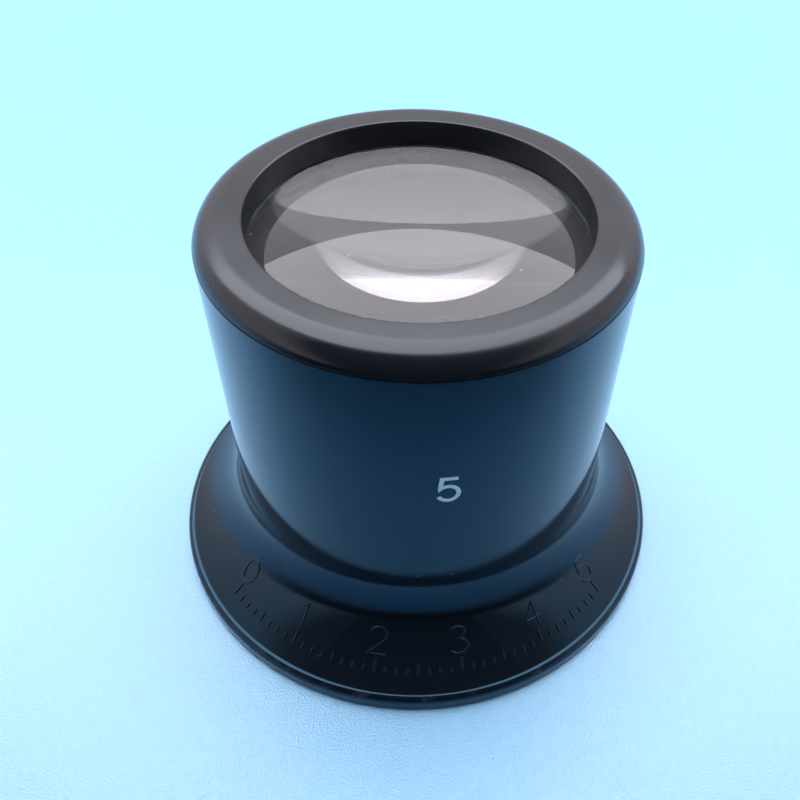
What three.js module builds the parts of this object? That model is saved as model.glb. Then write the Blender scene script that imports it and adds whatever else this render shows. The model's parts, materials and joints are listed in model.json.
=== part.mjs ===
// Jeweller's eye loupe: a flared eye cup moulded in one piece with its barrel, a glass lens on a seat inside the
// barrel's end, and a screwed ring that holds the lens down. It stands on the rim of its eye cup.
// Millimetres. +Z is the optical axis, from the eye towards the work, and z = 0 is the eye cup's flat edge.
import * as THREE from 'three';

// Overall size.
const HEIGHT = 27.6;
const RIM_RADIUS = 18;
const RIM_HEIGHT = 1.29;
const RIM_EDGE_ROUND = 0.48;
const RIM_BASE_ROUND = 0.25;
const RIM_LAND_WIDTH = 0.65;

// Barrel and the elliptical cove that spreads it into the eye cup. The wall of the cup follows the cove.
const BARREL_TOP_RADIUS = 13.45;
const BARREL_FOOT_RADIUS = 13.2;
const COVE_HALF_WIDTH = 12.39;
const COVE_HALF_HEIGHT = 8.37;
const COVE_TOP_Z = 7.63;
const WALL = 1.35;
const HOLLOW_TOP_RADIUS = 11.75;

// Lens: its focal length is about 37 mm.
const LENS_RADIUS = 11;
const LENS_THICKNESS = 3.73;
const LENS_UPPER_FACE_RADIUS = 32.7;
const LENS_LOWER_FACE_RADIUS = 52.2;
const LENS_CHAMFER = 0.1;

// Raised seat that the lens rests on, and the threaded bore round it that takes the ring's skirt.
const SEAT_INNER_RADIUS = 10.3;
const SEAT_OUTER_RADIUS = 11.15;
const LEDGE_Z = 23.15;
const LEDGE_THICKNESS = 1.1;
const LEDGE_BRACE = 1.2;
const SCREW_BORE_RADIUS = 12.35;
const MOUTH_CHAMFER = 0.2;

// Lens ring.
const RING_BORE_RADIUS = 10.45;
const RING_LIP_THICKNESS = 1.8;
const RING_EDGE_ROUND = 1.7;
const RING_SIDE_SLOPE = 12;
const RING_BORE_ROUND = 0.15;
const SKIRT_OUTER_RADIUS = 12.2;
const SKIRT_INNER_RADIUS = 11.35;
const SKIRT_CHAMFER = 0.2;

// Clearances.
const SEAM_GAP = 0.1;
const LENS_SEAT_GAP = 0.05;
const SKIRT_END_GAP = 0.25;

// Facets.
const FACETS_ROUND = 72;
const COVE_STEPS = 9;
const EDGE_STEPS = 5;
const FINE_EDGE_STEPS = 2;
const LENS_FACE_STEPS = 7;

// Heights that follow from the sizes above.
const ringRoundCentreZ = HEIGHT - RING_EDGE_ROUND;
const ringSeamZ = ringRoundCentreZ + RING_EDGE_ROUND * Math.sin(THREE.MathUtils.degToRad(RING_SIDE_SLOPE));
const lipUndersideZ = HEIGHT - RING_LIP_THICKNESS;
const lensTopZ = lipUndersideZ - LENS_SEAT_GAP + faceDrop(LENS_UPPER_FACE_RADIUS, RING_BORE_RADIUS);
const lensBottomZ = lensTopZ - LENS_THICKNESS;
const seatZ = lensBottomZ + faceDrop(LENS_LOWER_FACE_RADIUS, SEAT_INNER_RADIUS) - LENS_SEAT_GAP;

// How far a round face falls away from its centre at a distance from the axis.
function faceDrop(faceRadius, distance) {
  return faceRadius - Math.sqrt(faceRadius ** 2 - distance ** 2);
}

const point = (radius, z) => new THREE.Vector2(radius, z);

// Points along an arc in the (radius, z) plane. Angles are in degrees from +radius towards +z.
function arc(centreRadius, centreZ, arcRadius, fromDegrees, toDegrees, steps) {
  const points = [];
  for (let i = 0; i <= steps; i++) {
    const angle = THREE.MathUtils.degToRad(THREE.MathUtils.lerp(fromDegrees, toDegrees, i / steps));
    points.push(point(centreRadius + arcRadius * Math.cos(angle), centreZ + arcRadius * Math.sin(angle)));
  }
  return points;
}

// A solid of revolution about +Z. The profile runs anticlockwise in the (radius, z) plane.
function turned(name, profile, material) {
  const geometry = new THREE.LatheGeometry(profile, FACETS_ROUND);
  geometry.rotateX(Math.PI / 2);
  const mesh = new THREE.Mesh(geometry, material);
  mesh.name = name;
  return mesh;
}

// Points down the cove, or down the face a given depth behind it, from the barrel's foot to a height.
function coveCurve(depth, endZ) {
  const centreRadius = BARREL_FOOT_RADIUS + COVE_HALF_WIDTH;
  const halfWidth = COVE_HALF_WIDTH + depth;
  const halfHeight = COVE_HALF_HEIGHT + depth;
  const endAngle = Math.asin((COVE_TOP_Z - endZ) / halfHeight);
  const points = [];
  for (let i = 0; i <= COVE_STEPS; i++) {
    const angle = (endAngle * i) / COVE_STEPS;
    points.push(point(centreRadius - halfWidth * Math.cos(angle), COVE_TOP_Z - halfHeight * Math.sin(angle)));
  }
  return points;
}

function shell(material) {
  const landOuter = RIM_RADIUS - RIM_BASE_ROUND;
  const ledgeUndersideZ = LEDGE_Z - LEDGE_THICKNESS;
  const seamZ = ringSeamZ - SEAM_GAP;
  const profile = [
    point(landOuter - RIM_LAND_WIDTH, 0),
    ...arc(landOuter, RIM_BASE_ROUND, RIM_BASE_ROUND, -90, 0, FINE_EDGE_STEPS),
    ...arc(RIM_RADIUS - RIM_EDGE_ROUND, RIM_HEIGHT - RIM_EDGE_ROUND, RIM_EDGE_ROUND, 0, 90, EDGE_STEPS),
    ...coveCurve(0, RIM_HEIGHT).reverse(),
    point(BARREL_TOP_RADIUS, seamZ),
    point(SCREW_BORE_RADIUS + MOUTH_CHAMFER, seamZ),
    point(SCREW_BORE_RADIUS, seamZ - MOUTH_CHAMFER),
    point(SCREW_BORE_RADIUS, LEDGE_Z),
    point(SEAT_OUTER_RADIUS, LEDGE_Z),
    point(SEAT_OUTER_RADIUS, seatZ),
    point(SEAT_INNER_RADIUS, seatZ),
    point(SEAT_INNER_RADIUS, ledgeUndersideZ),
    point(HOLLOW_TOP_RADIUS, ledgeUndersideZ - LEDGE_BRACE),
    ...coveCurve(WALL, RIM_BASE_ROUND),
    point(landOuter - RIM_LAND_WIDTH, 0),
  ];
  return turned('shell', profile, material);
}

// Points over a lens face from the axis out to a distance. The height is the face's centre; up is 1 or -1.
function lensFace(faceRadius, height, up, distance) {
  const spread = THREE.MathUtils.radToDeg(Math.asin(distance / faceRadius));
  const points = arc(0, height - up * faceRadius, faceRadius, up * 90, up * (90 - spread), LENS_FACE_STEPS);
  points[0].x = 0;
  return points;
}

function lens(material) {
  const flatRadius = LENS_RADIUS - LENS_CHAMFER;
  const lower = lensFace(LENS_LOWER_FACE_RADIUS, lensBottomZ, -1, flatRadius);
  const upper = lensFace(LENS_UPPER_FACE_RADIUS, lensTopZ, 1, flatRadius).reverse();
  const profile = [
    ...lower,
    point(LENS_RADIUS, lower[LENS_FACE_STEPS].y + LENS_CHAMFER),
    point(LENS_RADIUS, upper[0].y - LENS_CHAMFER),
    ...upper,
  ];
  return turned('lens', profile, material);
}

function lensRing(material) {
  const slope = THREE.MathUtils.degToRad(RING_SIDE_SLOPE);
  const roundCentre = BARREL_TOP_RADIUS - RING_EDGE_ROUND * Math.cos(slope);
  const boreRoundCentre = RING_BORE_RADIUS + RING_BORE_ROUND;
  const skirtEndZ = LEDGE_Z + SKIRT_END_GAP;
  const profile = [
    point(RING_BORE_RADIUS, lipUndersideZ),
    point(SKIRT_INNER_RADIUS, lipUndersideZ),
    point(SKIRT_INNER_RADIUS, skirtEndZ),
    point(SKIRT_OUTER_RADIUS - SKIRT_CHAMFER, skirtEndZ),
    point(SKIRT_OUTER_RADIUS, skirtEndZ + SKIRT_CHAMFER),
    point(SKIRT_OUTER_RADIUS, ringSeamZ),
    ...arc(roundCentre, ringRoundCentreZ, RING_EDGE_ROUND, RING_SIDE_SLOPE, 90, EDGE_STEPS),
    ...arc(boreRoundCentre, HEIGHT - RING_BORE_ROUND, RING_BORE_ROUND, 90, 180, FINE_EDGE_STEPS),
    point(RING_BORE_RADIUS, lipUndersideZ),
  ];
  return turned('lens_ring', profile, material);
}

const shellPlastic = new THREE.MeshStandardMaterial({ color: 0x0b1017, roughness: 0.16, metalness: 0 });
const ringPlastic = new THREE.MeshStandardMaterial({ color: 0x0c0e13, roughness: 0.22, metalness: 0 });
const lensGlass = new THREE.MeshStandardMaterial({
  color: 0xdfe8ea,
  roughness: 0.02,
  metalness: 0,
  transparent: true,
  opacity: 0.3,
});

const loupe = new THREE.Group();
loupe.add(shell(shellPlastic), lens(lensGlass), lensRing(ringPlastic));

export default loupe;
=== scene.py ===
"""A black jeweller's eye loupe standing on its eye cup, lens up, on a pale blue sheet of paper."""

import json
import math

import bpy
from mathutils import Matrix, Vector


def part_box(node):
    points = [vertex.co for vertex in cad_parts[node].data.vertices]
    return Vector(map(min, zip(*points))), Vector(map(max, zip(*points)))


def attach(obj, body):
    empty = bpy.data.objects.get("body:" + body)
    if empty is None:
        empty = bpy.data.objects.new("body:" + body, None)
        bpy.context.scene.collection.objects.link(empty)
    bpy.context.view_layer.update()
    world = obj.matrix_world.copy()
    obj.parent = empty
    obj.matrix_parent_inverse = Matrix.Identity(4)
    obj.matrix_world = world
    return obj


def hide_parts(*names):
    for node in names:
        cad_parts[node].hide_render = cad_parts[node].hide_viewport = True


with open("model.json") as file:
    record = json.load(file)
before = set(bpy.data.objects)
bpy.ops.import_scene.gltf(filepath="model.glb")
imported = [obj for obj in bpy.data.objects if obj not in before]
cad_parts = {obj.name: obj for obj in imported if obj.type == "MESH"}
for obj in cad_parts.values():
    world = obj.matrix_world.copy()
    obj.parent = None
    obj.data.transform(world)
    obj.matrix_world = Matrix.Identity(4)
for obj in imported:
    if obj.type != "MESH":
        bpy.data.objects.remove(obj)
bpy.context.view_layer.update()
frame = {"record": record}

MM = 0.001

# Sizes that the frame gives, in millimetres. Each piece is round about the Z axis.
RIM_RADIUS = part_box("shell")[1].x / MM
SHELL_TOP_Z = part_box("shell")[1].z / MM
BARREL_TOP_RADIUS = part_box("lens_ring")[1].x / MM
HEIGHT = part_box("lens_ring")[1].z / MM
SKIRT_END_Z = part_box("lens_ring")[0].z / MM
LENS_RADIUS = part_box("lens")[1].x / MM
LENS_BOTTOM_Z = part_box("lens")[0].z / MM
LENS_TOP_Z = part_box("lens")[1].z / MM

# Shell, in millimetres: the same drawing as the CAD part's.
RIM_HEIGHT = 1.29
RIM_EDGE_ROUND = 0.48
RIM_BASE_ROUND = 0.25
RIM_LAND_WIDTH = 0.65
BARREL_FOOT_RADIUS = 13.2
COVE_HALF_WIDTH = 12.39
COVE_HALF_HEIGHT = 8.37
COVE_TOP_Z = 7.63
WALL = 1.35
HOLLOW_TOP_RADIUS = 11.75
SEAT_INNER_RADIUS = 10.3
SEAT_OUTER_RADIUS = 11.15
LEDGE_THICKNESS = 1.1
LEDGE_BRACE = 1.2
SCREW_BORE_RADIUS = 12.35
MOUTH_CHAMFER = 0.2
SEAM_ROUND = 0.035

# Lens ring and lens, in millimetres.
RING_BORE_RADIUS = 10.45
RING_LIP_THICKNESS = 1.8
RING_EDGE_ROUND = 1.7
RING_SIDE_SLOPE = 12
RING_BORE_ROUND = 0.15
SKIRT_INNER_RADIUS = 11.35
SKIRT_END_GAP = 0.25
LENS_UPPER_FACE_RADIUS = 32.7
LENS_LOWER_FACE_RADIUS = 52.2
LENS_CHAMFER = 0.1
LENS_SEAT_GAP = 0.05

# Screw thread: one turn lifts the ring by the pitch, as the frame's coupling says.
THREAD_PITCH = abs(frame["record"]["behaviour"]["couplings"][0]["ratio"]) * 2 * math.pi / MM
THREAD_CREST_RADIUS = 12.2
THREAD_DEPTH = 0.3
THREAD_CLEARANCE = 0.1
THREAD_RUNOUT = 0.3
THREAD_ROWS = 14
THREAD_CREST_SHARE = 1.45
THREAD_FLANK_STEEPNESS = 4.4

SEGMENTS = 288

# Plastics: the colour of each, and the tint of what it mirrors.
SHELL_COLOUR = (0.005, 0.0065, 0.009)
SHELL_TINT = (0.25, 0.64, 1.0)
RING_COLOUR = (0.006, 0.007, 0.009)
RING_TINT = (0.85, 0.94, 1.0)
SHELL_SATIN_COLOUR = (0.009, 0.011, 0.014)
RING_SATIN_COLOUR = (0.009, 0.010, 0.013)
PLASTIC_INDEX = 1.57

# Lens glass, and how much of the light a film of fine dust on it lets through.
LENS_INDEX = 1.54
LENS_CLEARNESS = 0.98

# The scale round the cove: it replaces the moulded words of the real one.
SCALE_FOOT_Z = 1.95
SCALE_RADIUS = 15.3
SCALE_SPAN = math.radians(104)
SCALE_NUMBERS = 5
SCALE_DIVISIONS = 8
TICK_HEIGHTS = {0: 0.95, 4: 0.7}
SHORT_TICK = 0.45
NUMBER_HEIGHT = 2.0
FIGURE_WIDTH = 0.62
NUMBER_GAP = 0.25
SCALE_BEAD = [(-0.1, -0.03), (-0.08, 0.03), (-0.035, 0.06), (0.035, 0.06), (0.08, 0.03), (0.1, -0.03)]

# The printed figure on the barrel.
PRINT_HEIGHT = 1.95
PRINT_FOOT_Z = 16.5
PRINT_ACROSS = 1.05
PRINT_FILM = [(-0.135, -0.02), (-0.135, 0.008), (-0.12, 0.012), (0.12, 0.012), (0.135, 0.008), (0.135, -0.02)]

# Camera, in millimetres and degrees: it looks down from the front, a hand's breadth away.
CAMERA_PLACE = Vector((0.0, -44.5, 56.6))
CAMERA_PITCH = math.radians(44.56)
CAMERA_YAW = math.radians(4.51)
CAMERA_ROLL = math.radians(-3.57)
CAMERA_LENS = 39.4
CAMERA_SHIFT = (-0.0869, -0.0165)

# Light tent, in millimetres. The panel's outline is in shares of its height.
PANEL_HEIGHT = 320
PANEL_HALF_WIDTH = 1.06
PANEL_WIDENING = 0.7
PANEL_MIDDLE = 0.9
PANEL_FRONT_REACH = 1.17
PANEL_COLOUR = (1.0, 0.97, 1.04)
PANEL_STRENGTH = 4.4
PANEL_BACK_ELEVATION = math.radians(41.5)
BACK_CARD_WIDTH = 1120
BACK_CARD_STRENGTH = 1.2
BACK_CARD_FOOT = math.radians(19)
# Painted shade: a dark sheet just over the floor in front, fading in away from the loupe and seen only in
# reflections. It stands in for the shade on the floor there.
FLOOR_SHADE_COLOUR = (0.004, 0.004, 0.005)
FLOOR_SHADE_START = 24
FLOOR_SHADE_FULL = 57
FLOOR_SHADE_HEIGHT = 0.2
FLOOR_SHADE_REACH = 500
FLOOR_SHADE_SPREAD = math.radians(84)
ROOM_GLOW = (0.96, 0.87, 0.94)
FRONT_GLOW = (0.11, 0.13, 0.15)
FRONT_MIDDLE = (0, -0.8, 0.6)
FRONT_EDGE = (0.45, 0.75)
PAPER_COLOUR = (0.17, 0.465, 0.71)
PAPER_REACH = 3000
PHONE_COLOUR = (0.09, 0.095, 0.11)
PHONE_WIDTH = 90
PHONE_ABOVE_LENS = 27
PHONE_BEHIND_CAMERA = 2


def face_drop(face_radius, distance):
    """How far a round face falls away from its centre at a distance from the axis."""
    return face_radius - math.sqrt(face_radius**2 - distance**2)


LEDGE_Z = SKIRT_END_Z - SKIRT_END_GAP
SEAT_Z = LENS_BOTTOM_Z + face_drop(LENS_LOWER_FACE_RADIUS, SEAT_INNER_RADIUS) - LENS_SEAT_GAP


def arc(centre_r, centre_z, radius, start, end, steps):
    """Points (r, z) along an arc; angles in degrees from +r towards +z."""
    points = []
    for i in range(steps + 1):
        a = math.radians(start + (end - start) * i / steps)
        points.append((centre_r + radius * math.cos(a), centre_z + radius * math.sin(a)))
    return points


def line(start, end, steps):
    """Points (r, z) along a straight stretch, its start left out."""
    return [
        tuple(s + (e - s) * i / steps for s, e in zip(start, end)) for i in range(1, steps + 1)
    ]


def thread_height(angle, z, low, high):
    """How far the ring's thread stands over its root, in millimetres, fading out towards low and high."""
    phase = (z / THREAD_PITCH - angle / (2 * math.pi)) % 1.0
    ridge = min(1.0, max(0.0, THREAD_CREST_SHARE - abs(phase - 0.5) * THREAD_FLANK_STEEPNESS))
    fade = min(1.0, (z - low) / THREAD_RUNOUT, (high - z) / THREAD_RUNOUT)
    return THREAD_DEPTH * ridge * max(0.0, fade)


def ring_radius(angle, r, z):
    """The ring's skirt with its raised thread."""
    return r + thread_height(angle, z, SKIRT_END_Z + 0.1, SHELL_TOP_Z - 0.1)


def shell_radius(angle, r, z):
    """The shell's bore with the groove that the ring's thread runs in."""
    ridge = thread_height(angle, z, -HEIGHT, 2 * HEIGHT)
    groove = THREAD_CREST_RADIUS - THREAD_DEPTH + ridge + THREAD_CLEARANCE
    fade = min(1.0, (z - LEDGE_Z) / THREAD_RUNOUT, (SHELL_TOP_Z - z) / THREAD_RUNOUT)
    return r + (groove - r) * max(0.0, fade)


def turned(name, rows, materials, closed=True):
    """A mesh of revolution about Z. Each row is (r, z, material index) or (r, z, index, radius function)."""
    verts, rings = [], []
    for r, z, _, *shape in rows:
        if r < 1e-6:
            rings.append([len(verts)] * SEGMENTS)
            verts.append((0, 0, z * MM))
            continue
        ring = []
        for k in range(SEGMENTS):
            angle = 2 * math.pi * k / SEGMENTS
            radius = shape[0](angle, r, z) if shape else r
            ring.append(len(verts))
            verts.append((radius * MM * math.cos(angle), radius * MM * math.sin(angle), z * MM))
        rings.append(ring)
    faces, indices = [], []
    following = rings[1:] + rings[:1] if closed else rings[1:]
    for low, high, row in zip(rings, following, rows):
        for k in range(SEGMENTS):
            n = (k + 1) % SEGMENTS
            corners = [low[k], low[n], high[n], high[k]]
            faces.append(list(dict.fromkeys(corners)))
            indices.append(row[2])
    mesh = bpy.data.meshes.new(name)
    mesh.from_pydata(verts, [], faces)
    for material in materials:
        mesh.materials.append(material)
    mesh.polygons.foreach_set("material_index", indices)
    mesh.shade_smooth()
    mesh.set_sharp_from_angle(angle=math.radians(28))
    piece = bpy.data.objects.new(name, mesh)
    bpy.context.scene.collection.objects.link(piece)
    return piece


def held(start, end, steps=1, margin=0.03):
    """A straight stretch with an extra row close to each end, so that it is shaded flat up to its corners."""
    length = math.dist(start, end)
    shares = [margin / length] + [i / steps for i in range(1, steps)] + [1 - margin / length]
    return [tuple(s + (e - s) * t for s, e in zip(start, end)) for t in shares]


def cove_angle(z):
    """How far along the cove's ellipse, in radians from level, a height is."""
    return math.asin((COVE_TOP_Z - z) / COVE_HALF_HEIGHT)


def cove_curve(depth, end_z, steps):
    """Points down the cove, or down the face a given depth behind it, from the barrel's foot to a height."""
    centre = BARREL_FOOT_RADIUS + COVE_HALF_WIDTH
    half_width = COVE_HALF_WIDTH + depth
    half_height = COVE_HALF_HEIGHT + depth
    end = math.asin((COVE_TOP_Z - end_z) / half_height)
    angles = [end * i / steps for i in range(steps + 1)]
    return [(centre - half_width * math.cos(a), COVE_TOP_Z - half_height * math.sin(a)) for a in angles]


def shell_rows():
    land_outer = RIM_RADIUS - RIM_BASE_ROUND
    land_inner = land_outer - RIM_LAND_WIDTH
    cove = cove_curve(0, RIM_HEIGHT, 64)[::-1]
    inner_cove = cove_curve(WALL, RIM_BASE_ROUND, 48)
    barrel_end = (BARREL_TOP_RADIUS, SHELL_TOP_Z - SEAM_ROUND)
    mouth = (SCREW_BORE_RADIUS + MOUTH_CHAMFER, SHELL_TOP_Z)
    underside_z = LEDGE_Z - LEDGE_THICKNESS
    outside = (
        held((land_inner, 0), (land_outer, 0))
        + arc(land_outer, RIM_BASE_ROUND, RIM_BASE_ROUND, -90, 0, 8)
        + held((RIM_RADIUS, RIM_BASE_ROUND), (RIM_RADIUS, RIM_HEIGHT - RIM_EDGE_ROUND))
        + arc(RIM_RADIUS - RIM_EDGE_ROUND, RIM_HEIGHT - RIM_EDGE_ROUND, RIM_EDGE_ROUND, 0, 90, 16)
        + cove
        + held(cove[-1], barrel_end, 8)
        + arc(BARREL_TOP_RADIUS - SEAM_ROUND, barrel_end[1], SEAM_ROUND, 0, 90, 4)
        + held((BARREL_TOP_RADIUS - SEAM_ROUND, SHELL_TOP_Z), mouth)
    )
    bore_top = (SCREW_BORE_RADIUS, SHELL_TOP_Z - MOUTH_CHAMFER)
    bore_steps = round((bore_top[1] - LEDGE_Z) / (THREAD_PITCH / THREAD_ROWS))
    bore = [bore_top] + line(bore_top, (SCREW_BORE_RADIUS, LEDGE_Z), bore_steps)
    hollow_top = (HOLLOW_TOP_RADIUS, underside_z - LEDGE_BRACE)
    inside = (
        held(bore[-1], (SEAT_OUTER_RADIUS, LEDGE_Z))
        + held((SEAT_OUTER_RADIUS, LEDGE_Z), (SEAT_OUTER_RADIUS, SEAT_Z))
        + held((SEAT_OUTER_RADIUS, SEAT_Z), (SEAT_INNER_RADIUS, SEAT_Z))
        + held((SEAT_INNER_RADIUS, SEAT_Z), (SEAT_INNER_RADIUS, underside_z), 3)
        + held((SEAT_INNER_RADIUS, underside_z), hollow_top)
        + held(hollow_top, inner_cove[0], 4)
        + inner_cove
        + held(inner_cove[-1], (land_inner, 0))
    )
    return (
        [(r, z, 0) for r, z in outside]
        + [(r, z, 1, shell_radius) for r, z in bore]
        + [(r, z, 1) for r, z in inside]
    )


def ring_rows():
    slope = math.radians(RING_SIDE_SLOPE)
    round_centre = (BARREL_TOP_RADIUS - RING_EDGE_ROUND * math.cos(slope), HEIGHT - RING_EDGE_ROUND)
    seam_z = round_centre[1] + RING_EDGE_ROUND * math.sin(slope)
    lip_z = HEIGHT - RING_LIP_THICKNESS
    root = THREAD_CREST_RADIUS - THREAD_DEPTH
    bore_round = (RING_BORE_RADIUS + RING_BORE_ROUND, HEIGHT - RING_BORE_ROUND)
    below = (
        held((RING_BORE_RADIUS, lip_z), (SKIRT_INNER_RADIUS, lip_z))
        + held((SKIRT_INNER_RADIUS, lip_z), (SKIRT_INNER_RADIUS, SKIRT_END_Z))
        + held((SKIRT_INNER_RADIUS, SKIRT_END_Z), (root, SKIRT_END_Z))
    )
    thread_steps = round((SHELL_TOP_Z - SKIRT_END_Z) / (THREAD_PITCH / THREAD_ROWS))
    thread = line((root, SKIRT_END_Z), (root, SHELL_TOP_Z), thread_steps)
    above = (
        held((root, seam_z), (BARREL_TOP_RADIUS - SEAM_ROUND, seam_z))
        + arc(BARREL_TOP_RADIUS - SEAM_ROUND, seam_z + SEAM_ROUND, SEAM_ROUND, -90, 0, 4)
        + arc(*round_centre, RING_EDGE_ROUND, RING_SIDE_SLOPE + 1.5, 90, 32)
        + held((round_centre[0], HEIGHT), (bore_round[0], HEIGHT), 3)
        + arc(bore_round[0], bore_round[1], RING_BORE_ROUND, 90, 180, 6)
        + held((RING_BORE_RADIUS, bore_round[1]), (RING_BORE_RADIUS, lip_z), 3)
    )
    return (
        [(r, z, 1) for r, z in below]
        + [(r, z, 1, ring_radius) for r, z in thread]
        + [(r, z, 0) for r, z in above]
    )


def lens_face(face_radius, height, up, distance):
    """Points over a lens face from the axis out to a distance. The height is the centre's; up is 1 or -1."""
    spread = math.degrees(math.asin(distance / face_radius))
    return arc(0, height - up * face_radius, face_radius, up * 90, up * (90 - spread), 40)


def lens_rows():
    flat = LENS_RADIUS - LENS_CHAMFER
    lower = lens_face(LENS_LOWER_FACE_RADIUS, LENS_BOTTOM_Z, -1, flat)
    upper = lens_face(LENS_UPPER_FACE_RADIUS, LENS_TOP_Z, 1, flat)[::-1]
    edge_foot = (LENS_RADIUS, lower[-1][1] + LENS_CHAMFER)
    edge_head = (LENS_RADIUS, upper[0][1] - LENS_CHAMFER)
    polished = [(r, z, 0) for r, z in lower[:-1]]
    ground = [(r, z, 1) for r, z in [lower[-1]] + held(edge_foot, edge_head, 2)]
    return polished + ground + [(r, z, 0) for r, z in upper]


def swept(name, strokes, surface, section, material):
    """Lines raised on a surface. A stroke is a list of (across, up) points in millimetres, surface gives the
    place and the normal at such a point, and section is the outline as (sideways, height) points."""
    verts, faces = [], []
    for stroke in strokes:
        rings = []
        for i, (x, y) in enumerate(stroke):
            before, after = stroke[max(i - 1, 0)], stroke[min(i + 1, len(stroke) - 1)]
            ins = Vector((x - before[0], y - before[1]))
            outs = Vector((after[0] - x, after[1] - y))
            ins = (ins if ins.length > 1e-9 else outs).normalized()
            outs = (outs if outs.length > 1e-9 else ins).normalized()
            along = (ins + outs).normalized()
            mitre = min(1.8, 1 / max(0.3, along.dot(ins)))
            side = Vector((-along.y, along.x)) * mitre
            ring = []
            for offset, height in section:
                place, normal = surface(x + side.x * offset, y + side.y * offset)
                ring.append(len(verts))
                verts.append((place + normal * height) * MM)
            rings.append(ring)
        count = len(section)
        for low, high in zip(rings, rings[1:]):
            for k in range(count):
                n = (k + 1) % count
                faces.append((low[k], low[n], high[n], high[k]))
        faces.append(tuple(reversed(rings[0])))
        faces.append(tuple(rings[-1]))
    mesh = bpy.data.meshes.new(name)
    mesh.from_pydata(verts, [], faces)
    mesh.materials.append(material)
    mesh.shade_smooth()
    mesh.set_sharp_from_angle(angle=math.radians(50))
    piece = bpy.data.objects.new(name, mesh)
    bpy.context.scene.collection.objects.link(piece)
    return piece


def bow(cx, cy, rx, ry, start, end, steps=14):
    """Points along part of an ellipse, in degrees from the right, anticlockwise."""
    angles = [math.radians(start + (end - start) * i / steps) for i in range(steps + 1)]
    return [(cx + rx * math.cos(a), cy + ry * math.sin(a)) for a in angles]


def figure(digit):
    """The strokes of one plain figure, in a box FIGURE_WIDTH wide and 1 high."""
    return {
        "0": [bow(0.31, 0.5, 0.3, 0.5, 90, 450, 28)],
        "1": [[(0.12, 0.8), (0.34, 1.0), (0.34, 0.0)]],
        "2": [bow(0.31, 0.7, 0.29, 0.3, 165, -35) + [(0.02, 0.0), (0.62, 0.0)]],
        "3": [bow(0.28, 0.76, 0.27, 0.24, 150, -90) + bow(0.28, 0.26, 0.32, 0.26, 90, -150)[1:]],
        "4": [[(0.46, 0.0), (0.46, 1.0), (0.0, 0.3), (0.62, 0.3)]],
        "5": [[(0.57, 1.0), (0.1, 1.0), (0.045, 0.52)] + bow(0.29, 0.33, 0.31, 0.33, 128, -155, 20)],
    }[digit]


def resampled(stroke, step):
    """The stroke with points added so that none are further apart than step."""
    points = [stroke[0]]
    for start, end in zip(stroke, stroke[1:]):
        points += line(start, end, max(1, math.ceil(math.dist(start, end) / step)))
    return points


def placed(strokes, x, y, height, step=0.12):
    return [[(x + u * height, y + v * height) for u, v in resampled(s, step)] for s in strokes]


def barrel_surface(across, up):
    """A place on the barrel and the way out of it; across is measured round it from the front, towards +X."""
    share = (up - COVE_TOP_Z) / (SHELL_TOP_Z - COVE_TOP_Z)
    radius = BARREL_FOOT_RADIUS + (BARREL_TOP_RADIUS - BARREL_FOOT_RADIUS) * share
    angle = across / BARREL_FOOT_RADIUS
    out = Vector((math.sin(angle), -math.cos(angle), 0))
    return out * radius + Vector((0, 0, up)), out


def cove_surface(across, up):
    """A place on the cove, up millimetres along its curve above SCALE_FOOT_Z, and the way out of it."""
    foot = cove_angle(SCALE_FOOT_Z)
    stretch = math.hypot(COVE_HALF_WIDTH * math.sin(foot), COVE_HALF_HEIGHT * math.cos(foot))
    turn = foot - up / stretch
    angle = across / SCALE_RADIUS
    out = Vector((math.sin(angle), -math.cos(angle), 0))
    radius = BARREL_FOOT_RADIUS + COVE_HALF_WIDTH * (1 - math.cos(turn))
    place = out * radius + Vector((0, 0, COVE_TOP_Z - COVE_HALF_HEIGHT * math.sin(turn)))
    slope = math.atan2(math.sin(turn) / COVE_HALF_HEIGHT, math.cos(turn) / COVE_HALF_WIDTH)
    return place, out * math.cos(slope) + Vector((0, 0, math.sin(slope)))


def add(material, kind, **values):
    """A new shader node with the inputs named in values set, spaces written as underscores."""
    node = material.node_tree.nodes.new(kind)
    for key, value in values.items():
        node.inputs[key.replace("_", " ")].default_value = value
    return node


def join(material, output, node_input):
    material.node_tree.links.new(output, node_input)


def principled(name, **values):
    material = bpy.data.materials.new(name)
    material.use_nodes = True
    shader = material.node_tree.nodes["Principled BSDF"]
    for key, value in values.items():
        shader.inputs[key.replace("_", " ")].default_value = value
    return material, shader


def noise(material, scale, detail=2.0, stretch=(1, 1, 1)):
    """Noise fixed to the piece, 0 to 1; scale is in features per metre."""
    place = add(material, "ShaderNodeTexCoord")
    mapping = add(material, "ShaderNodeMapping", Scale=stretch)
    texture = add(material, "ShaderNodeTexNoise", Scale=scale, Detail=detail)
    join(material, place.outputs["Object"], mapping.inputs["Vector"])
    join(material, mapping.outputs["Vector"], texture.inputs["Vector"])
    return texture.outputs["Fac"]


def ramp(material, value, low, high, start=0.0, end=1.0):
    """Start where value is at low, end where it is at high, smooth between."""
    node = add(material, "ShaderNodeMapRange")
    node.interpolation_type = "SMOOTHSTEP"
    join(material, value, node.inputs["Value"])
    for key, number in zip(("From Min", "From Max", "To Min", "To Max"), (low, high, start, end)):
        node.inputs[key].default_value = number
    return node.outputs["Result"]


def math_node(material, operation, first, second):
    node = material.node_tree.nodes.new("ShaderNodeMath")
    node.operation = operation
    for value, node_input in zip((first, second), node.inputs):
        if isinstance(value, (int, float)):
            node_input.default_value = value
        else:
            join(material, value, node_input)
    return node.outputs[0]


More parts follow.
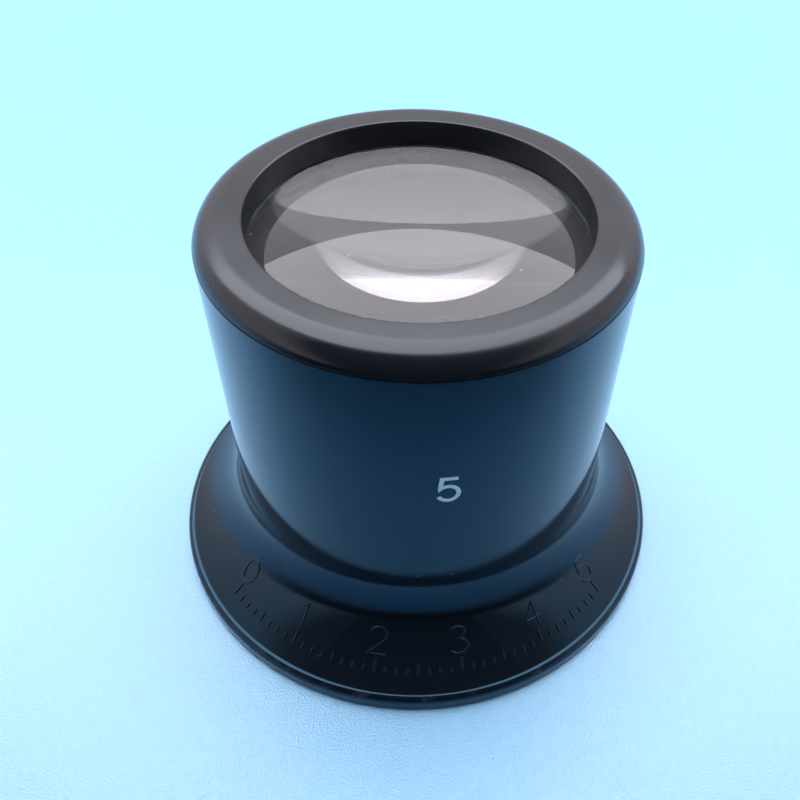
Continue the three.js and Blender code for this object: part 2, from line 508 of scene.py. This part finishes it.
def blended(material, factor, first, second):
    """One colour turning into another as factor goes from 0 to 1."""
    node = material.node_tree.nodes.new("ShaderNodeMix")
    node.data_type = "RGBA"
    join(material, factor, node.inputs["Factor"])
    colours = [i for i in node.inputs if i.type == "RGBA"]
    colours[0].default_value = (*first, 1)
    colours[1].default_value = (*second, 1)
    return next(o for o in node.outputs if o.type == "RGBA")


def bumped(material, shader, layers):
    """Bump layers as (height, distance in millimetres), the first one lowest."""
    normal = None
    for height, distance in layers:
        node = add(material, "ShaderNodeBump", Distance=distance * MM)
        join(material, height, node.inputs["Height"])
        if normal:
            join(material, normal, node.inputs["Normal"])
        normal = node.outputs["Normal"]
    join(material, normal, shader.inputs["Normal"])


def specks(material, scale, size, share):
    """1 inside small round specks of dust, 0 elsewhere."""
    place = add(material, "ShaderNodeTexCoord")
    cells = add(material, "ShaderNodeTexVoronoi", Scale=scale)
    join(material, place.outputs["Object"], cells.inputs["Vector"])
    chosen = material.node_tree.nodes.new("ShaderNodeSeparateColor")
    join(material, cells.outputs["Color"], chosen.inputs["Color"])
    dot = ramp(material, cells.outputs["Distance"], size, size * 0.6)
    return math_node(material, "MULTIPLY", dot, ramp(material, chosen.outputs[0], 1 - share, 1.001 - share))


def hairlines(material, scale, stretch, width):
    """1 along thin curved lines, as fine scratches."""
    centred = math_node(material, "SUBTRACT", noise(material, scale, 1, stretch), 0.5)
    away = math_node(material, "ABSOLUTE", centred, 0)
    return ramp(material, away, width, width * 0.3)


def radius_of(material):
    """The shaded point's distance from the Z axis."""
    place = add(material, "ShaderNodeTexCoord")
    flat = material.node_tree.nodes.new("ShaderNodeVectorMath")
    flat.operation = "MULTIPLY"
    flat.inputs[1].default_value = (1, 1, 0)
    length = material.node_tree.nodes.new("ShaderNodeVectorMath")
    length.operation = "LENGTH"
    join(material, place.outputs["Object"], flat.inputs[0])
    join(material, flat.outputs["Vector"], length.inputs[0])
    return length.outputs["Value"]


def coordinate(material, axis):
    """The shaded point's X, Y or Z."""
    place = add(material, "ShaderNodeTexCoord")
    split = add(material, "ShaderNodeSeparateXYZ")
    join(material, place.outputs["Object"], split.inputs[0])
    return split.outputs[axis]


def gloss_plastic(name, colour, tint, gloss, edge_radius, edge_height):
    """Moulded black plastic: polished, faintly uneven, rubbed dull and grey on its handling edge."""
    material, shader = principled(name, IOR=PLASTIC_INDEX, Specular_Tint=(*tint, 1))
    near_edge = math_node(
        material,
        "MULTIPLY",
        ramp(material, radius_of(material), (edge_radius - 0.45) * MM, (edge_radius - 0.1) * MM),
        ramp(material, coordinate(material, "Z"), (edge_height - 0.5) * MM, (edge_height - 0.25) * MM),
    )
    rubbed = math_node(material, "MULTIPLY", near_edge, ramp(material, noise(material, 900, 5), 0.45, 0.72))
    dust = specks(material, 900, 0.08, 0.1)
    scratches = math_node(
        material,
        "MULTIPLY",
        math_node(
            material,
            "MAXIMUM",
            hairlines(material, 60, (1, 1, 9), 0.0016),
            hairlines(material, 75, (6, 2, 1), 0.0014),
        ),
        ramp(material, noise(material, 150), 0.5, 0.62),
    )
    marks = math_node(material, "MAXIMUM", dust, math_node(material, "MULTIPLY", rubbed, 0.2))
    join(material, blended(material, marks, colour, (0.06, 0.075, 0.09)), shader.inputs["Base Color"])
    smear = ramp(material, noise(material, 110, 4), 0.35, 0.7, gloss * 0.85, gloss * 1.35)
    worn = smear
    for layer, roughness in ((rubbed, 0.42), (dust, 0.7), (scratches, 0.24)):
        worn = math_node(material, "MAXIMUM", worn, math_node(material, "MULTIPLY", layer, roughness))
    join(material, worn, shader.inputs["Roughness"])
    bumped(
        material,
        shader,
        [
            (noise(material, 160, 2), 0.02),
            (noise(material, 2600, 3), 0.0006),
            (math_node(material, "MULTIPLY", rubbed, noise(material, 5000, 3)), 0.012),
        ],
    )
    return material


def satin_plastic(name, colour, tint):
    """The same plastic where the mould was left unpolished: a fine matt grain."""
    material, shader = principled(name, IOR=PLASTIC_INDEX, Specular_Tint=(*tint, 1))
    mottle = ramp(material, noise(material, 500, 4), 0.3, 0.7)
    join(material, blended(material, mottle, colour, [c * 1.6 for c in colour]), shader.inputs["Base Color"])
    join(material, ramp(material, noise(material, 3500, 4), 0.3, 0.7, 0.3, 0.48), shader.inputs["Roughness"])
    bumped(material, shader, [(noise(material, 250, 2), 0.01), (noise(material, 6000, 3), 0.003)])
    return material


def polished_glass():
    material, shader = principled("polished_glass", IOR=LENS_INDEX, Transmission_Weight=LENS_CLEARNESS)
    dust = specks(material, 520, 0.06, 0.3)
    smear = math_node(material, "MULTIPLY", ramp(material, noise(material, 170, 4), 0.52, 0.75), 0.035)
    colour = blended(material, dust, (0.97, 0.985, 0.98), (0.8, 0.82, 0.84))
    roughness = math_node(material, "MAXIMUM", smear, math_node(material, "MULTIPLY", dust, 0.6))
    join(material, colour, shader.inputs["Base Color"])
    join(material, roughness, shader.inputs["Roughness"])
    return material


def ground_glass():
    """The lens's edge, left as fine grey grinding."""
    material, shader = principled("ground_glass", IOR=LENS_INDEX, Transmission_Weight=0.75)
    colour = blended(material, noise(material, 3000, 4), (0.5, 0.52, 0.52), (0.7, 0.72, 0.72))
    join(material, colour, shader.inputs["Base Color"])
    join(material, ramp(material, noise(material, 1500, 4), 0.3, 0.7, 0.45, 0.65), shader.inputs["Roughness"])
    bumped(material, shader, [(noise(material, 8000, 3), 0.01)])
    return material


def printed_ink():
    """Pale pad-printed ink, thin enough at places for the black to darken it."""
    material, shader = principled("printed_ink", IOR=1.45)
    thin = ramp(material, noise(material, 4500, 4), 0.5, 0.78)
    colour = blended(material, thin, (0.85, 0.9, 0.92), (0.55, 0.62, 0.66))
    join(material, colour, shader.inputs["Base Color"])
    join(material, ramp(material, noise(material, 2500, 3), 0.3, 0.7, 0.38, 0.55), shader.inputs["Roughness"])
    bumped(material, shader, [(noise(material, 4500, 4), 0.002)])
    return material


def paper():
    """Pale blue art paper with a fine tooth."""
    material, shader = principled("blue_paper", IOR=1.9, Roughness=0.3)
    fibre = ramp(material, noise(material, 1800, 5), 0.3, 0.7)
    colour = blended(material, fibre, PAPER_COLOUR, [c * 1.04 for c in PAPER_COLOUR])
    join(material, colour, shader.inputs["Base Color"])
    bumped(material, shader, [(noise(material, 260, 2), 0.01), (noise(material, 7000, 2), 0.06)])
    return material


def card(name, corners, shader_type, colour, strength=1.0):
    """A flat card of the light tent, off camera: corners in millimetres, lit or black."""
    mesh = bpy.data.meshes.new(name)
    mesh.from_pydata([Vector(c) * MM for c in corners], [], [range(len(corners))])
    material = bpy.data.materials.new(name)
    material.use_nodes = True
    tree = material.node_tree
    tree.nodes.clear()
    shader = tree.nodes.new(shader_type)
    shader.inputs["Color"].default_value = (*colour, 1)
    if shader_type == "ShaderNodeEmission":
        shader.inputs["Strength"].default_value = strength
    output = tree.nodes.new("ShaderNodeOutputMaterial")
    join(material, shader.outputs[0], output.inputs["Surface"])
    mesh.materials.append(material)
    sheet = bpy.data.objects.new(name, mesh)
    bpy.context.scene.collection.objects.link(sheet)
    sheet.visible_camera = False
    return sheet


def moulded_scale(material):
    """Thin raised ticks and numbers round the front of the cove."""
    strokes = []
    step = SCALE_SPAN * SCALE_RADIUS / (SCALE_NUMBERS * SCALE_DIVISIONS)
    for i in range(SCALE_NUMBERS * SCALE_DIVISIONS + 1):
        x = (i - SCALE_NUMBERS * SCALE_DIVISIONS / 2) * step
        height = TICK_HEIGHTS.get(i % SCALE_DIVISIONS, SHORT_TICK)
        strokes.append(resampled([(x, 0), (x, height)], 0.2))
        if i % SCALE_DIVISIONS == 0:
            digit = str(i // SCALE_DIVISIONS)
            foot = TICK_HEIGHTS[0] + NUMBER_GAP
            strokes += placed(figure(digit), x - FIGURE_WIDTH * NUMBER_HEIGHT / 2, foot, NUMBER_HEIGHT)
    return swept("moulded_scale", strokes, cove_surface, SCALE_BEAD, material)


def printed_figure(material):
    strokes = placed(figure("5"), PRINT_ACROSS, PRINT_FOOT_Z, PRINT_HEIGHT, 0.08)
    return swept("printed_figure", strokes, barrel_surface, PRINT_FILM, material)


def build_object():
    shell_gloss = gloss_plastic("shell_gloss", SHELL_COLOUR, SHELL_TINT, 0.1, RIM_RADIUS, RIM_HEIGHT)
    ring_gloss = gloss_plastic("ring_gloss", RING_COLOUR, RING_TINT, 0.2, BARREL_TOP_RADIUS, HEIGHT)
    shell_satin = satin_plastic("shell_satin", SHELL_SATIN_COLOUR, SHELL_TINT)
    ring_satin = satin_plastic("ring_satin", RING_SATIN_COLOUR, RING_TINT)
    shell = turned("shell_body", shell_rows(), [shell_gloss, shell_satin])
    scale = moulded_scale(shell_gloss)
    numeral = printed_figure(printed_ink())
    lens = turned("lens_optic", lens_rows(), [polished_glass(), ground_glass()], closed=False)
    ring = turned("lens_ring_body", ring_rows(), [ring_gloss, ring_satin])
    pieces = [
        (shell, "shell", "shell_plastic", "shell"),
        (scale, "shell", "shell_plastic", None),
        (numeral, "shell", "print_ink", None),
        (lens, "lens", "lens_glass", "lens"),
        (ring, "ring", "ring_plastic", "lens_ring"),
    ]
    for piece, body, slot, node in pieces:
        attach(piece, body)
        if node:
            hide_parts(node)


def build_floor():
    mesh = bpy.data.meshes.new("paper_sheet")
    reach = PAPER_REACH * MM
    corners = [(-reach, -reach, 0), (reach, -reach, 0), (reach, reach, 0), (-reach, reach, 0)]
    mesh.from_pydata(corners, [], [(0, 1, 2, 3)])
    mesh.materials.append(paper())
    sheet = bpy.data.objects.new("paper_sheet", mesh)
    bpy.context.scene.collection.objects.link(sheet)


def camera_axes():
    forward = Vector((
        math.sin(CAMERA_YAW) * math.cos(CAMERA_PITCH),
        math.cos(CAMERA_YAW) * math.cos(CAMERA_PITCH),
        -math.sin(CAMERA_PITCH),
    ))
    right = Vector((math.cos(CAMERA_YAW), -math.sin(CAMERA_YAW), 0))
    down = forward.cross(right)
    turned_right = math.cos(CAMERA_ROLL) * right + math.sin(CAMERA_ROLL) * down
    turned_down = math.cos(CAMERA_ROLL) * down - math.sin(CAMERA_ROLL) * right
    return turned_right, turned_down, forward


def build_camera():
    right, down, forward = camera_axes()
    data = bpy.data.cameras.new("camera")
    data.lens = CAMERA_LENS
    data.shift_x, data.shift_y = CAMERA_SHIFT
    data.clip_start = 0.001
    camera = bpy.data.objects.new("camera", data)
    axes = Matrix((right, -down, -forward)).transposed().to_4x4()
    camera.matrix_world = Matrix.Translation(CAMERA_PLACE * MM) @ axes
    bpy.context.scene.collection.objects.link(camera)
    bpy.context.scene.camera = camera


def painted_floor_shade():
    """Painted shade: a dark sheet flat in front of the loupe, fading in away from it, that only reflections
    show. It stands in for the shade on the floor there and casts no shadow itself.
    """
    sweep = [-math.pi / 2 + FLOOR_SHADE_SPREAD * (i / 12 - 1) for i in range(25)]
    near = [(FLOOR_SHADE_START * math.cos(a), FLOOR_SHADE_START * math.sin(a), FLOOR_SHADE_HEIGHT) for a in sweep]
    far = [(FLOOR_SHADE_REACH * math.cos(a), FLOOR_SHADE_REACH * math.sin(a), FLOOR_SHADE_HEIGHT) for a in reversed(sweep)]
    sheet = card("painted_floor_shade", near + far, "ShaderNodeBsdfDiffuse", FLOOR_SHADE_COLOUR)
    material = sheet.data.materials[0]
    clear = material.node_tree.nodes.new("ShaderNodeBsdfTransparent")
    mixed = material.node_tree.nodes.new("ShaderNodeMixShader")
    away = radius_of(material)
    forward = math_node(material, "MULTIPLY", coordinate(material, "Y"), -1)
    ahead = math_node(material, "DIVIDE", forward, away)
    middle = ramp(material, ahead, math.cos(FLOOR_SHADE_SPREAD), math.cos(FLOOR_SHADE_SPREAD / 2))
    density = math_node(material, "MULTIPLY", middle, ramp(material, away, FLOOR_SHADE_START * MM, FLOOR_SHADE_FULL * MM))
    join(material, density, mixed.inputs[0])
    join(material, clear.outputs[0], mixed.inputs[1])
    join(material, material.node_tree.nodes["Diffuse BSDF"].outputs[0], mixed.inputs[2])
    join(material, mixed.outputs[0], material.node_tree.nodes["Material Output"].inputs["Surface"])
    sheet.visible_diffuse = False
    sheet.visible_shadow = False


def build_room():
    """A pale room, dark in front where the photographer stands."""
    world = bpy.data.worlds.new("room")
    world.use_nodes = True
    direction = add(world, "ShaderNodeTexCoord")
    frontness = world.node_tree.nodes.new("ShaderNodeVectorMath")
    frontness.operation = "DOT_PRODUCT"
    frontness.inputs[1].default_value = FRONT_MIDDLE
    join(world, direction.outputs["Generated"], frontness.inputs[0])
    share = ramp(world, frontness.outputs["Value"], *FRONT_EDGE)
    glow = blended(world, share, ROOM_GLOW, FRONT_GLOW)
    join(world, glow, world.node_tree.nodes["Background"].inputs["Color"])
    bpy.context.scene.world = world


def build_light():
    """A wide panel overhead and a dimmer card low behind."""
    h = PANEL_HEIGHT
    back_y = (h - HEIGHT) / math.tan(PANEL_BACK_ELEVATION)
    sweep = [math.radians(180 + 180 * i / 24) for i in range(25)]
    outline = []
    for a in sweep:
        half_width = PANEL_HALF_WIDTH + PANEL_WIDENING * (1 + math.sin(a)) ** 2
        y = PANEL_MIDDLE + PANEL_FRONT_REACH * math.sin(a)
        outline.append((half_width * h * math.cos(a), y * h, h))
    outline += [(outline[-1][0], back_y, h), (outline[0][0], back_y, h)]
    card("overhead_panel", outline, "ShaderNodeEmission", PANEL_COLOUR, PANEL_STRENGTH)
    foot = HEIGHT + back_y * math.tan(BACK_CARD_FOOT)
    half = BACK_CARD_WIDTH / 2
    back = [(x, back_y, z) for x, z in ((-half, foot), (half, foot), (half, h), (-half, h))]
    card("back_card", back, "ShaderNodeEmission", PANEL_COLOUR, BACK_CARD_STRENGTH)


def build_phone():
    """The dark back of the phone that takes the view."""
    right, down, forward = camera_axes()
    middle = CAMERA_PLACE - forward * PHONE_BEHIND_CAMERA
    reach = middle.z / -down.z - 1
    corners = [
        middle + right * side * PHONE_WIDTH / 2 + down * along
        for side, along in ((-1, reach), (1, reach), (1, -PHONE_ABOVE_LENS), (-1, -PHONE_ABOVE_LENS))
    ]
    card("phone_back", corners, "ShaderNodeBsdfDiffuse", PHONE_COLOUR)


build_object()
build_floor()
build_camera()
build_light()
painted_floor_shade()
build_phone()
build_room()
bpy.context.scene.view_settings.view_transform = "Standard"
